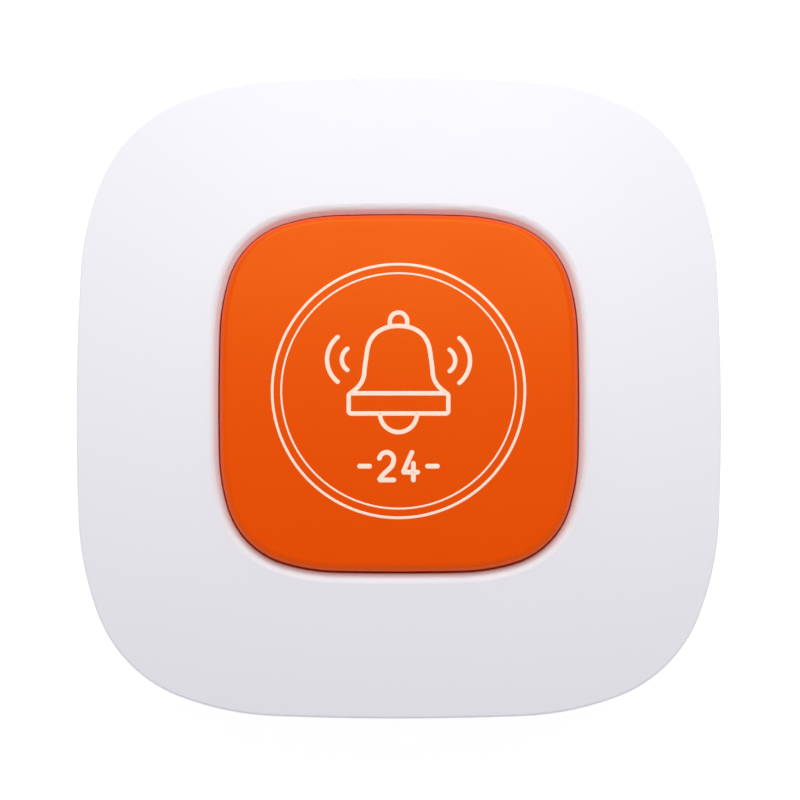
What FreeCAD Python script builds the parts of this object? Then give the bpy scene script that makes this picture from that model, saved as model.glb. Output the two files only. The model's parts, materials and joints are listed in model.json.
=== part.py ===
import FreeCAD, Part
import math
import os
import re
import Sketcher

# A wireless waiter call button: a low pillow-shaped case of two shells with one large
# square-round button in its top, a sealed tact switch under the button, and a coin cell
# behind a quarter-turn door in the base.
# Frame: millimetres, +Z up, origin on the table under the middle of the button.

# ---------------------------------------------------------------- driving dimensions
DIMENSIONS = [
    ("CASE", None, ""),
    ("case_width", 65.0, "across the flats, both ways"),
    ("case_side_radius", 315.0, "bulge of each side"),
    ("case_blend_radius", 30.6, "between the side and the corner"),
    ("case_corner_radius", 14.2, "corner"),
    ("case_side_angle", 2.25, "degrees, half the arc of a side"),
    ("case_wall", 2.0, "both shells"),
    ("base_depth", 7.0, "base plane to parting line"),
    ("dome_radius", 140.0, "crown of the top cover"),
    ("crown_fillet", 0.3, "crisp top edge of the cover"),
    ("base_fillet", 4.5, "bottom edge of the case"),
    ("parting_chamfer", 0.2, "each side of the parting line"),
    ("tongue_inset", 1.0, "outer face of the tongue and its rebate"),
    ("tongue_height", 1.2, "above the parting line"),
    ("gasket_height", 0.6, "above the tongue"),
    ("fit_gap", 0.1, "between pieces that slot together"),
    ("BUTTON", None, ""),
    ("cap_width", 35.8, "across the flats, both ways"),
    ("cap_side_radius", 238.0, "bulge of each side"),
    ("cap_blend_radius", 19.9, "between the side and the corner"),
    ("cap_corner_radius", 8.2, "corner"),
    ("cap_side_angle", 1.5, "degrees, half the arc of a side"),
    ("cap_wall", 1.5, "top and skirt"),
    ("cap_dome_radius", 220.0, "crown of the cap"),
    ("cap_edge_fillet", 0.8, "top edge of the cap"),
    ("cap_proud", 0.1, "apex of the cap above the apex of the cover's dome"),
    ("cap_gap", 0.2, "cap to case, all round"),
    ("press_travel", 0.6, "of the cap"),
    ("travel_spare", 0.1, "between the pressed skirt and the ledge"),
    ("lip_chamfer", 0.7, "edge of the opening"),
    ("lip_fillet", 0.75, "where the chamfer meets the top"),
    ("collar_wall", 1.4, "guide round the cap"),
    ("shelf_width", 1.6, "inner shelf of the collar"),
    ("shelf_thickness", 1.2, ""),
    ("hook_width", 5.0, ""),
    ("hook_thickness", 1.1, ""),
    ("hook_root", 0.7, "depth in the skirt"),
    ("hook_catch", 0.75, "barb beyond the leg"),
    ("barb_height", 0.9, ""),
    ("post_radius", 2.5, "of the cap's centre post"),
    ("post_length", 2.1, "from the cap's underside"),
    ("cap_rib_height", 1.1, ""),
    ("rib_thickness", 1.0, "all ribs"),
    ("SEAL", None, ""),
    ("boot_clearance", 0.5, "boot wall to hook"),
    ("boot_wall", 0.8, ""),
    ("boot_web", 0.6, "top sheet"),
    ("boot_flange", 1.0, "thickness, clamped under the collar"),
    ("boot_flange_margin", 0.7, "beyond the collar"),
    ("boot_fillet", 1.2, ""),
    ("pusher_radius", 2.6, ""),
    ("pusher_height", 1.0, "above the web"),
    ("ELECTRONICS", None, ""),
    ("board_thickness", 1.2, ""),
    ("board_margin", 0.5, "beyond the boot's flange"),
    ("switch_width", 6.0, ""),
    ("switch_base_height", 3.1, ""),
    ("switch_plate", 0.3, "steel cover"),
    ("switch_height", 4.3, "board to plunger top"),
    ("plunger_radius", 1.75, ""),
    ("plunger_clearance", 0.1, "round the plunger"),
    ("snap_sheet", 0.12, "steel of the snap dome"),
    ("snap_rise", 0.65, "of the snap dome"),
    ("lead_sheet", 0.2, "legs and leads of all parts"),
    ("lead_foot", 1.1, "flat end of a leg on the board"),
    ("switch_leg_width", 0.7, ""),
    ("switch_leg_pitch", 4.5, ""),
    ("chip_length", 4.9, "transmitter, eight leads"),
    ("chip_width", 3.9, ""),
    ("chip_height", 1.5, ""),
    ("chip_lift", 0.15, "above the board"),
    ("chip_x", 0.46, "middle, in half widths of the room in the boot"),
    ("chip_y", -0.63, "the same"),
    ("chip_lead_width", 0.4, ""),
    ("chip_lead_pitch", 1.27, ""),
    ("crystal_length", 10.0, ""),
    ("crystal_width", 4.0, ""),
    ("crystal_height", 3.3, ""),
    ("crystal_flange", 0.5, "height and width of its foot"),
    ("crystal_x", -0.46, "middle, in half widths of the room in the boot"),
    ("crystal_y", -0.63, "the same"),
    ("transistor_length", 2.9, ""),
    ("transistor_width", 1.3, ""),
    ("transistor_height", 1.0, ""),
    ("transistor_x", 0.74, "middle, in half widths of the room in the boot"),
    ("transistor_y", -0.18, "the same"),
    ("chip_part_length", 2.0, "capacitors and resistors"),
    ("chip_part_width", 1.2, ""),
    ("part_pitch", 1.92, "from one row of them to the next"),
    ("capacitor_height", 0.9, ""),
    ("resistor_height", 0.5, ""),
    ("antenna_radius", 1.4, "middle of the wire"),
    ("antenna_wire", 0.7, "diameter"),
    ("antenna_pitch", 2.5, ""),
    ("antenna_turns", 7.0, ""),
    ("antenna_lift", 0.3, "coil above the board"),
    ("antenna_y", 0.67, "its axis, in half widths of the room in the boot"),
    ("BATTERY", None, ""),
    ("cell_diameter", 24.5, ""),
    ("cell_height", 5.0, ""),
    ("cell_edge", 0.35, "rounding of the can"),
    ("cell_step", 1.3, "from the can's side to the negative cap"),
    ("cell_cap_height", 0.35, "negative cap above the can"),
    ("cell_clearance", 0.15, "round the cell"),
    ("contact_room", 1.3, "cell to board"),
    ("contact_sheet", 0.25, "spring bronze"),
    ("contact_width", 4.0, ""),
    ("contact_pad", 3.2, "soldered end of each contact"),
    ("contact_gap", 0.05, "leaf to the round side of the cell"),
    ("door_recess", 0.1, "below the base plane"),
    ("door_floor", 1.6, ""),
    ("door_rim", 1.2, ""),
    ("door_ring_wall", 0.9, ""),
    ("door_gap", 0.2, "round the door"),
    ("lug_depth", 1.0, "radial"),
    ("lug_thickness", 1.0, ""),
    ("lug_clearance", 0.05, "over the bayonet ledge"),
    ("lug_half_angle", 18.0, "degrees"),
    ("notch_half_angle", 20.5, "degrees"),
    ("door_turn", 40.0, "degrees from locked to free"),
    ("stop_gap", 1.5, "degrees between a lug and a stop"),
    ("bayonet_ledge", 1.2, ""),
    ("seal_section", 0.9, "O-ring"),
    ("seal_clearance", 0.02, ""),
    ("coin_slot_length", 17.0, ""),
    ("coin_slot_width", 2.0, ""),
    ("coin_slot_depth", 0.9, ""),
    ("well_wall", 1.4, ""),
    ("FIXINGS", None, ""),
    ("boss_inset", 11.5, "screw axis from the side of the case"),
    ("boss_radius", 2.8, "in the cover"),
    ("base_boss_radius", 3.5, "in the base"),
    ("screw_radius", 1.0, ""),
    ("screw_length", 8.0, "under the head"),
    ("screw_head_radius", 1.9, ""),
    ("screw_head_height", 1.3, ""),
    ("screw_drive_radius", 0.95, "cross recess"),
    ("screw_drive_depth", 0.8, ""),
    ("screw_sink", 1.1, "head below the base plane"),
    ("screw_hole_radius", 1.2, ""),
    ("head_hole_radius", 2.3, ""),
    ("board_post_radius", 1.6, ""),
    ("locating_pin_radius", 0.7, ""),
    ("foot_length", 18.0, ""),
    ("foot_width", 4.0, ""),
    ("foot_proud", 0.6, "below the base plane"),
    ("foot_recess", 0.8, ""),
    ("foot_edge", 0.4, "rounding"),
    ("foot_middle", 24.0, "from the middle of the case"),
]

doc = FreeCAD.newDocument("call_button")
sheet = doc.addObject("Spreadsheet::Sheet", "dims")
for row, (name, size, note) in enumerate(DIMENSIONS, start=1):
    sheet.set(f"A{row}", name)
    if size is not None:
        sheet.set(f"B{row}", str(size))
        sheet.setAlias(f"B{row}", name)
        sheet.set(f"C{row}", note)
doc.recompute()
ALIASES = {name for name, size, note in DIMENSIONS if size is not None}

# ---------------------------------------------------------------- heights, as expressions
UP = FreeCAD.Vector(0, 0, 1)
NEAR = 1e-3
BASE = "foot_proud"
PARTING = f"({BASE} + base_depth)"
FLOOR = f"({BASE} + case_wall)"
DOOR_FACE = f"({BASE} + door_recess)"
RIM_TOP = f"({DOOR_FACE} + door_rim)"
LEDGE_BOTTOM = f"({RIM_TOP} + seal_section + seal_clearance)"
LEDGE_TOP = f"({LEDGE_BOTTOM} + bayonet_ledge)"
LUG_BOTTOM = f"({LEDGE_TOP} + lug_clearance)"
LUG_TOP = f"({LUG_BOTTOM} + lug_thickness)"
CELL_BOTTOM = f"({DOOR_FACE} + door_floor)"
CELL_TOP = f"({CELL_BOTTOM} + cell_height)"
BOARD_BOTTOM = f"({CELL_TOP} + contact_room)"
BOARD_TOP = f"({BOARD_BOTTOM} + board_thickness)"
COLLAR_BOTTOM = f"({BOARD_TOP} + boot_flange)"
WEB_BOTTOM = f"({BOARD_TOP} + switch_height)"
WEB_TOP = f"({WEB_BOTTOM} + boot_web)"
PUSHER_TOP = f"({WEB_TOP} + pusher_height)"
CAP_UNDERSIDE = f"({PUSHER_TOP} + post_length)"
CAP_APEX = f"({CAP_UNDERSIDE} + cap_wall)"
DOME_APEX = f"({CAP_APEX} - cap_proud)"
BARB_BOTTOM = f"({COLLAR_BOTTOM} + press_travel + 4 * travel_spare)"
SHELF_BOTTOM = f"({BARB_BOTTOM} + barb_height)"
SHELF_TOP = f"({SHELF_BOTTOM} + shelf_thickness)"
SKIRT_BOTTOM = f"({SHELF_TOP} + press_travel + travel_spare)"
TONGUE_TOP = f"({PARTING} + tongue_height)"
REBATE_TOP = f"({TONGUE_TOP} + gasket_height)"
HEAD_SEAT = f"({BASE} + screw_sink + screw_head_height)"

# ---------------------------------------------------------------- radii and places
CELL_RADIUS = "(cell_diameter / 2)"
RING_INNER = f"({CELL_RADIUS} + cell_clearance)"
RING_OUTER = f"({RING_INNER} + door_ring_wall)"
LUG_RADIUS = f"({RING_OUTER} + lug_depth)"
WELL_RADIUS = f"({LUG_RADIUS} + door_gap)"
SEAL_INNER = f"({WELL_RADIUS} + fit_gap)"
SEAL_OUTER = f"({SEAL_INNER} + seal_section)"
DOOR_RADIUS = f"({SEAL_OUTER} + 3 * fit_gap)"
COUNTERBORE_RADIUS = f"({DOOR_RADIUS} + door_gap)"
SEAT_RADIUS = f"({COUNTERBORE_RADIUS} + case_wall / 2)"
LOCKED = "90"
BOSS_PLACE = "(case_width / 2 - boss_inset)"
BOSS_REACH = f"(sqrt(2) * {BOSS_PLACE})"
POST_PLACE = f"({WELL_RADIUS} + well_wall + 1.6 * board_post_radius)"
POST_SIDE = "(4 * board_post_radius)"

# Insets of the cap's outline. A negative inset lies outside the cap.
APERTURE = "-cap_gap"
COLLAR_OUTER = "-(cap_gap + collar_wall)"
FLANGE_OUTLINE = "-(cap_gap + collar_wall + boot_flange_margin)"
PAST_FLANGE = "cap_gap + collar_wall + boot_flange_margin + board_margin"
PAST_POSTS = f"{POST_PLACE} + 1.5 * board_post_radius - cap_width / 2"
BOARD_OUTLINE = f"-max({PAST_FLANGE}; {PAST_POSTS})"
SHELF_INNER = "(shelf_width - cap_gap)"
HOOK_FACE = "(cap_width / 2 - cap_wall)"
BOOT_OUTLINE = "(cap_wall + hook_thickness + boot_clearance)"

# Places on the board, as shares of the half width inside the boot.
ROOM = f"(cap_width / 2 - {BOOT_OUTLINE} - boot_wall)"
CHIP_X, CHIP_Y = f"(chip_x * {ROOM})", f"(chip_y * {ROOM})"
CRYSTAL_X, CRYSTAL_Y = f"(crystal_x * {ROOM})", f"(crystal_y * {ROOM})"
TRANSISTOR_X, TRANSISTOR_Y = f"(transistor_x * {ROOM})", f"(transistor_y * {ROOM})"
ANTENNA_Y = f"(antenna_y * {ROOM})"


def dims(text):
    """The same expression, with the sheet's name before each alias."""
    return re.sub(r"[a-z_]{2,}", lambda word: "dims." * (word.group() in ALIASES) + word.group(), text)


def number(text):
    """What an expression comes to with the sheet's present values."""
    found = sheet.evalExpression(dims(text))
    return float(getattr(found, "Value", found))


def bind(thing, name, text):
    thing.setExpression(name, dims(text))


def sag(radius, distance):
    """Drop of a dome of that radius at a distance from its axis."""
    return f"({radius} - sqrt({radius} ^ 2 - ({distance}) ^ 2))"


# ---------------------------------------------------------------- bodies and sketches
def new_body(label):
    body = doc.addObject("PartDesign::Body", label)
    body.Label = label
    return body


def axis(body, role):
    """One of the body's own origin planes or axes."""
    return [feature for feature in body.Origin.OriginFeatures if feature.Role == role][0]


def new_sketch(body, name, height="0", turn=None, plane="XY_Plane"):
    """A sketch on an origin plane of the body, moved along the plane's normal by height and
    turned about it by turn degrees."""
    sketch = body.newObject("Sketcher::SketchObject", f"{body.Name}_{name}")
    sketch.AttachmentSupport = [(axis(body, plane), "")]
    sketch.MapMode = "FlatFace"
    bind(sketch, "AttachmentOffset.Base.z", height)
    if turn is not None:
        sketch.AttachmentOffset.Rotation = FreeCAD.Rotation(UP, 1)
        bind(sketch, "AttachmentOffset.Rotation.Angle", turn)
    return sketch


def datum(sketch, kind, places, text):
    """A dimension of the sketch that takes its value from an expression."""
    index = sketch.addConstraint(Sketcher.Constraint(kind, *places, number(text)))
    bind(sketch, f"Constraints[{index}]", text)


def pin(sketch, geometry, point, x, y):
    """Holds one point of the sketch at (x, y)."""
    datum(sketch, "DistanceX", (-1, 1, geometry, point), x)
    datum(sketch, "DistanceY", (-1, 1, geometry, point), y)


def outline(sketch, family, inset="0"):
    """A square with bulging sides and soft corners: 16 tangent arcs, of three radii, all with
    the centres that the whole family of insets shares, so an inset is a true parallel curve."""
    first = sketch.GeometryCount
    side, blend, corner = (f"{family}_{part}_radius - ({inset})" for part in ("side", "blend", "corner"))
    to_side = f"{family}_side_radius - {family}_width / 2"
    to_blend = f"({family}_side_radius - {family}_blend_radius) * sin({family}_side_angle)"
    side_r, blend_r, corner_r = number(side), number(blend), number(corner)
    side_at, blend_y = number(to_side), number(to_blend)
    side_end = math.radians(number(f"{family}_side_angle"))
    blend_x = (side_r - blend_r) * math.cos(side_end) - side_at
    total = blend_x + blend_y
    reach = blend_r - corner_r
    corner_at = (total + math.sqrt(total**2 - 2 * (blend_x**2 + blend_y**2 - reach**2))) / 2
    blend_end = math.atan2(corner_at - blend_y, corner_at - blend_x)
    quarter = math.pi / 2
    arcs = [
        (-side_at, 0, side_r, -side_end, side_end),
        (blend_x, blend_y, blend_r, side_end, blend_end),
        (corner_at, corner_at, corner_r, blend_end, quarter - blend_end),
        (blend_y, blend_x, blend_r, quarter - blend_end, quarter - side_end),
    ]
    for turn in range(4):
        spin = FreeCAD.Rotation(UP, 90 * turn)
        for x, y, radius, start, end in arcs:
            whole = Part.Circle(spin.multVec(FreeCAD.Vector(x, y, 0)), UP, radius)
            sketch.addGeometry(Part.ArcOfCircle(whole, start + turn * quarter, end + turn * quarter), False)
    rules = [Sketcher.Constraint("Tangent", first + k, 2, first + (k + 1) % 16, 1) for k in range(16)]
    rules += [Sketcher.Constraint("Equal", first, first + k) for k in (4, 8, 12)]
    rules += [Sketcher.Constraint("Equal", first + 1, first + k) for k in range(3, 16, 2)]
    rules += [Sketcher.Constraint("Equal", first + 2, first + k) for k in (6, 10, 14)]
    on_axes = ((0, -1), (4, -2), (8, -1), (12, -2))
    rules += [Sketcher.Constraint("PointOnObject", first + k, 3, line) for k, line in on_axes]
    sketch.addConstraint(rules)
    for k, radius in ((0, side), (1, blend), (2, corner)):
        datum(sketch, "Radius", (first + k,), radius)
    for k, way, sign in ((0, "X", "-"), (4, "Y", "-"), (8, "X", ""), (12, "Y", "")):
        datum(sketch, f"Distance{way}", (-1, 1, first + k, 3), f"{sign}({to_side})")
    right = ((1, "Y", ""), (3, "X", ""), (13, "X", ""), (15, "Y", "-"))
    left = ((5, "X", "-"), (7, "Y", ""), (9, "Y", "-"), (11, "X", "-"))
    for k, way, sign in right + left:
        datum(sketch, f"Distance{way}", (-1, 1, first + k, 3), f"{sign}({to_blend})")


def circle(sketch, radius, x="0", y="0"):
    centre = FreeCAD.Vector(number(x), number(y), 0)
    index = sketch.addGeometry(Part.Circle(centre, UP, number(radius)), False)
    datum(sketch, "Radius", (index,), radius)
    pin(sketch, index, 3, x, y)


def polygon(sketch, corners):
    """Straight lines through the corners, each an (x, y) pair of expressions, and back."""
    first = sketch.GeometryCount
    places = [FreeCAD.Vector(number(x), number(y), 0) for x, y in corners]
    count = len(places)
    for k in range(count):
        sketch.addGeometry(Part.LineSegment(places[k], places[(k + 1) % count]), False)
    for k in range(count):
        sketch.addConstraint(Sketcher.Constraint("Coincident", first + k, 2, first + (k + 1) % count, 1))
    for k, (x, y) in enumerate(corners):
        pin(sketch, first + k, 1, x, y)


def rectangle(sketch, x, y, width, depth):
    """Centred on (x, y)."""
    left, right = f"{x} - ({width}) / 2", f"{x} + ({width}) / 2"
    low, high = f"{y} - ({depth}) / 2", f"{y} + ({depth}) / 2"
    polygon(sketch, [(left, low), (right, low), (right, high), (left, high)])


def stadium(sketch, x, length, width):
    """A bar with round ends, its length along Y, centred on (x, 0)."""
    first = sketch.GeometryCount
    reach, radius = f"(({length}) - ({width})) / 2", f"({width}) / 2"
    middle, r, half = number(x), number(radius), number(reach)
    upper, lower = FreeCAD.Vector(middle, half, 0), FreeCAD.Vector(middle, -half, 0)
    side = FreeCAD.Vector(r, 0, 0)
    sketch.addGeometry(Part.ArcOfCircle(Part.Circle(upper, UP, r), 0, math.pi), False)
    sketch.addGeometry(Part.LineSegment(upper - side, lower - side), False)
    sketch.addGeometry(Part.ArcOfCircle(Part.Circle(lower, UP, r), math.pi, 2 * math.pi), False)
    sketch.addGeometry(Part.LineSegment(lower + side, upper + side), False)
    rules = [Sketcher.Constraint("Tangent", first + k, 2, first + (k + 1) % 4, 1) for k in range(4)]
    sketch.addConstraint(rules + [Sketcher.Constraint("Equal", first, first + 2)])
    datum(sketch, "Radius", (first,), radius)
    pin(sketch, first, 3, x, reach)
    pin(sketch, first + 2, 3, x, f"-({reach})")


def sector(sketch, inner, outer, half_angle):
    """A piece of a ring, symmetric about the sketch's X axis."""
    first = sketch.GeometryCount
    small, large, spread = number(inner), number(outer), math.radians(number(half_angle))
    middle = FreeCAD.Vector()

    def at(radius, angle):
        return FreeCAD.Vector(radius * math.cos(angle), radius * math.sin(angle), 0)

    sketch.addGeometry(Part.ArcOfCircle(Part.Circle(middle, UP, large), -spread, spread), False)
    sketch.addGeometry(Part.LineSegment(at(large, spread), at(small, spread)), False)
    sketch.addGeometry(Part.ArcOfCircle(Part.Circle(middle, UP, small), -spread, spread), False)
    sketch.addGeometry(Part.LineSegment(at(small, -spread), at(large, -spread)), False)
    ends = ((0, 2, 1, 1), (1, 2, 2, 2), (2, 1, 3, 1), (3, 2, 0, 1), (0, 3, -1, 1), (2, 3, -1, 1))
    for a, a_point, b, b_point in ends:
        b = b if b < 0 else first + b
        sketch.addConstraint(Sketcher.Constraint("Coincident", first + a, a_point, b, b_point))
    for k, radius in ((0, outer), (2, inner)):
        datum(sketch, "Radius", (first + k,), radius)
        datum(sketch, "DistanceY", (-1, 1, first + k, 1), f"-({radius}) * sin({half_angle})")
        datum(sketch, "DistanceY", (-1, 1, first + k, 2), f"({radius}) * sin({half_angle})")


# ---------------------------------------------------------------- features
def finish(body, feature, name):
    feature.Label = f"{body.Label} {name}"
    body.Tip = feature
    doc.recompute()
    return feature


def pad(body, sketch, length, name="pad", both_ways=False):
    feature = body.newObject("PartDesign::Pad", f"{sketch.Name}_pad")
    feature.Profile = sketch
    feature.Midplane = both_ways
    bind(feature, "Length", length)
    return finish(body, feature, name)


def pocket(body, sketch, depth, name="pocket"):
    """Cuts upwards from the sketch, to that depth."""
    feature = body.newObject("PartDesign::Pocket", f"{sketch.Name}_pocket")
    feature.Profile = sketch
    feature.Reversed = True
    bind(feature, "Length", depth)
    return cut_something(body, feature, name)


def cut_something(body, feature, name):
    """Finishes a cut and makes sure that it took material away."""
    before = feature.BaseFeature.Shape.Volume
    finish(body, feature, name)
    if not feature.Shape.Volume < before:
        raise RuntimeError(f"{feature.Label} cuts nothing")
    return feature


def revolve(body, sketch, name="revolution"):
    feature = body.newObject("PartDesign::Revolution", f"{sketch.Name}_revolution")
    feature.Profile = sketch
    feature.ReferenceAxis = (sketch, ["V_Axis"])
    feature.Angle = 360
    return finish(body, feature, name)


def polar(body, features, count, name="pattern"):
    """Repeats the features about the body's vertical axis."""
    feature = body.newObject("PartDesign::PolarPattern", f"{features[0].Name}_pattern")
    feature.Originals = features
    feature.Axis = (axis(body, "Z_Axis"), [""])
    feature.Angle = 360
    feature.Occurrences = count
    return finish(body, feature, name)


def edges_where(shape, test):
    return [f"Edge{k}" for k, edge in enumerate(shape.Edges, start=1) if test(edge)]


def fillet(body, test, radius, name="fillet"):
    base = body.Tip
    feature = body.newObject("PartDesign::Fillet", f"{base.Name}_fillet")
    feature.Base = (base, edges_where(base.Shape, test))
    bind(feature, "Radius", radius)
    return finish(body, feature, name)


def chamfer(body, test, size, name="chamfer"):
    base = body.Tip
    feature = body.newObject("PartDesign::Chamfer", f"{base.Name}_chamfer")
    feature.Base = (base, edges_where(base.Shape, test))
    bind(feature, "Size", size)
    return finish(body, feature, name)


def hollow(body, height, wall, name="shell"):
    """Shells the solid inwards and leaves its flat face at that height open."""
    base = body.Tip
    level = number(height)
    boxes = enumerate((face.BoundBox for face in base.Shape.Faces), start=1)
    opened = [f"Face{k}" for k, box in boxes if max(abs(box.ZMin - level), abs(box.ZMax - level)) < NEAR]
    feature = body.newObject("PartDesign::Thickness", f"{base.Name}_shell")
    feature.Base = (base, opened)
    feature.Reversed = True
    bind(feature, "Value", wall)
    return finish(body, feature, name)


def dome(body, apex, radius, reach):
    """Turns away everything above a dome, out to reach from the axis."""
    sketch = new_sketch(body, "dome", plane="XZ_Plane")
    middle, edge = f"({apex} - {radius})", f"({apex} - {sag(radius, reach)})"
    top = f"({apex} + 2 * case_wall)"
    centre = FreeCAD.Vector(0, number(middle), 0)
    r, far = number(radius), number(reach)
    arc = Part.ArcOfCircle(Part.Circle(centre, FreeCAD.Vector(0, 0, 1), r), math.acos(far / r), math.pi / 2)
    places = [FreeCAD.Vector(x, number(y), 0) for x, y in ((0, apex), (0, top), (far, top), (far, edge))]
    sketch.addGeometry(arc, False)
    for k in range(3):
        sketch.addGeometry(Part.LineSegment(places[k], places[k + 1]), False)
    for a, a_point, b in ((0, 2, 1), (1, 2, 2), (2, 2, 3)):
        sketch.addConstraint(Sketcher.Constraint("Coincident", a, a_point, b, 1))
    sketch.addConstraint(Sketcher.Constraint("Coincident", 3, 2, 0, 1))
    sketch.addConstraint(Sketcher.Constraint("Horizontal", 2))
    sketch.addConstraint(Sketcher.Constraint("Vertical", 3))
    pin(sketch, 0, 3, "0", middle)
    datum(sketch, "Radius", (0,), radius)
    datum(sketch, "DistanceX", (-1, 1, 0, 2), "0")
    datum(sketch, "DistanceX", (-1, 1, 1, 2), "0")
    datum(sketch, "DistanceY", (-1, 1, 1, 2), top)
    datum(sketch, "DistanceX", (-1, 1, 3, 1), reach)
    feature = body.newObject("PartDesign::Groove", f"{body.Name}_groove")
    feature.Profile = sketch
    feature.ReferenceAxis = (sketch, ["V_Axis"])
    feature.Angle = 360
    return cut_something(body, feature, "dome cut")


def level_edge(height):
    """True for an edge that lies flat at that height."""
    level = number(height)

    def test(edge):
        box = edge.BoundBox
        return max(abs(box.ZMin - level), abs(box.ZMax - level)) < NEAR

    return test


def beyond(half_width):
    """True for an edge whose middle is further than half_width from the axis, on X or Y."""
    limit = number(half_width)

    def test(edge):
        middle = edge.valueAt((edge.FirstParameter + edge.LastParameter) / 2)
        return max(abs(middle.x), abs(middle.y)) > limit

    return test


def within(half_width):
    """True for an edge that lies wholly nearer the axis than half_width, on X and Y."""
    limit = number(half_width)

    def test(edge):
        box = edge.BoundBox
        return max(abs(box.XMin), box.XMax, abs(box.YMin), box.YMax) < limit

    return test


def on_dome(body, radius):
    """True for an edge of the body's faces that follow a sphere of that radius."""
    size = number(radius)
    faces = [face for face in body.Tip.Shape.Faces if isinstance(face.Surface, Part.Sphere)]
    edges = [edge for face in faces if abs(face.Surface.Radius - size) < NEAR for edge in face.Edges]
    return lambda edge: any(edge.isSame(other) for other in edges)


def outline_radii(family, inset="0"):
    return [number(f"{family}_{part}_radius - ({inset})") for part in ("side", "blend", "corner")]


def any_near(value, others):
    return any(abs(value - other) < NEAR for other in others)


def top_of_sides(body, family, inset="0"):
    """True for an upper edge of the faces that stand on the family's outline at that inset."""
    radii = outline_radii(family, inset)
    edges = []
    for face in body.Tip.Shape.Faces:
        if isinstance(face.Surface, Part.Cylinder) and any_near(face.Surface.Radius, radii):
            middle = (face.BoundBox.ZMin + face.BoundBox.ZMax) / 2
            edges += [edge for edge in face.Edges if edge.BoundBox.ZMin > middle]
    return lambda edge: any(edge.isSame(other) for other in edges)


def on_outline(family):
    """True for an arc of the family's outline, and not of an inset of it."""
    radii = outline_radii(family)
    return lambda edge: isinstance(edge.Curve, Part.Circle) and any_near(edge.Curve.Radius, radii)


def upright(edge):
    box = edge.BoundBox
    return box.ZLength > NEAR and max(box.XLength, box.YLength) < NEAR


def widest(radius):
    """True for a circle of that radius."""
    size = number(radius)
    return lambda edge: isinstance(edge.Curve, Part.Circle) and abs(edge.Curve.Radius - size) < NEAR


def both(*tests):
    return lambda edge: all(test(edge) for test in tests)


# ---------------------------------------------------------------- the two shells
def make_top_cover():
    body = new_body("top_cover")
    sketch = new_sketch(body, "outline", PARTING)
    outline(sketch, "case")
    pad(body, sketch, f"{DOME_APEX} - {PARTING} + case_wall", "block")
    dome(body, DOME_APEX, "dome_radius", "case_width * 0.8")
    hollow(body, PARTING, "case_wall")
    fillet(body, top_of_sides(body, "case"), "crown_fillet", "crown")

    # The rebate that takes the base's tongue and the gasket.
    sketch = new_sketch(body, "rebate", PARTING)
    outline(sketch, "case", "tongue_inset")
    outline(sketch, "case", "case_wall + fit_gap")
    pocket(body, sketch, f"{REBATE_TOP} - {PARTING}", "rebate")

    # The collar that guides the cap, then the opening with its rolled lip.
    corner_reach = "(1.2 * (cap_width / 2 + cap_gap + collar_wall))"
    collar_top = f"({DOME_APEX} - {sag('dome_radius', corner_reach)} - case_wall / 4)"
    sketch = new_sketch(body, "collar", COLLAR_BOTTOM)
    outline(sketch, "cap", COLLAR_OUTER)
    pad(body, sketch, f"{collar_top} - {COLLAR_BOTTOM}", "collar")
    sketch = new_sketch(body, "opening", f"{COLLAR_BOTTOM} - case_wall")
    outline(sketch, "cap", APERTURE)
    pocket(body, sketch, f"{DOME_APEX} - {COLLAR_BOTTOM} + 2 * case_wall", "opening")
    chamfer(body, top_of_sides(body, "cap", APERTURE), "lip_chamfer", "lip")
    inner_edge = both(on_dome(body, "dome_radius"), within("(cap_width + case_width) / 4"))
    fillet(body, inner_edge, "lip_fillet", "lip top")

    # The shelf inside the collar, which stops the skirt and holds the hooks.
    sketch = new_sketch(body, "shelf", SHELF_BOTTOM)
    outline(sketch, "cap", "-(cap_gap + collar_wall / 4)")
    outline(sketch, "cap", SHELF_INNER)
    pad(body, sketch, "shelf_thickness", "shelf")

    # Screw bosses with pilot holes.
    boss_top = f"({DOME_APEX} - {sag('dome_radius', BOSS_REACH)} - 0.6 * case_wall)"
    sketch = new_sketch(body, "boss", PARTING)
    circle(sketch, "boss_radius", BOSS_PLACE, BOSS_PLACE)
    polar(body, [pad(body, sketch, f"{boss_top} - {PARTING}", "boss")], 4, "bosses")
    sketch = new_sketch(body, "pilot", PARTING)
    circle(sketch, "screw_radius + fit_gap / 5", BOSS_PLACE, BOSS_PLACE)
    depth = f"screw_length - ({PARTING} - {HEAD_SEAT}) + screw_radius"
    polar(body, [pocket(body, sketch, depth, "pilot hole")], 4, "pilot holes")

    # Ribs that stiffen the top round the collar, two to a side. Their tops end inside the wall.
    near, far = "(cap_width / 2 + cap_gap + collar_wall / 2)", "(case_width / 2 - 4 * case_wall)"
    middle, side = f"(({near} + {far}) / 2)", "(cap_width / 4)"
    across = f"sqrt({middle} ^ 2 + {side} ^ 2)"
    rib_top = f"({DOME_APEX} - {sag('dome_radius', across)} - case_wall / 2)"
    sketch = new_sketch(body, "ribs", f"{rib_top} - 2 * case_wall")
    for y in (side, f"-{side}"):
        rectangle(sketch, middle, y, f"{far} - {near}", "rib_thickness")
    polar(body, [pad(body, sketch, "2 * case_wall", "ribs")], 4, "all ribs")

    chamfer(body, both(level_edge(PARTING), on_outline("case")), "parting_chamfer", "parting edge")
    return body


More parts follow.
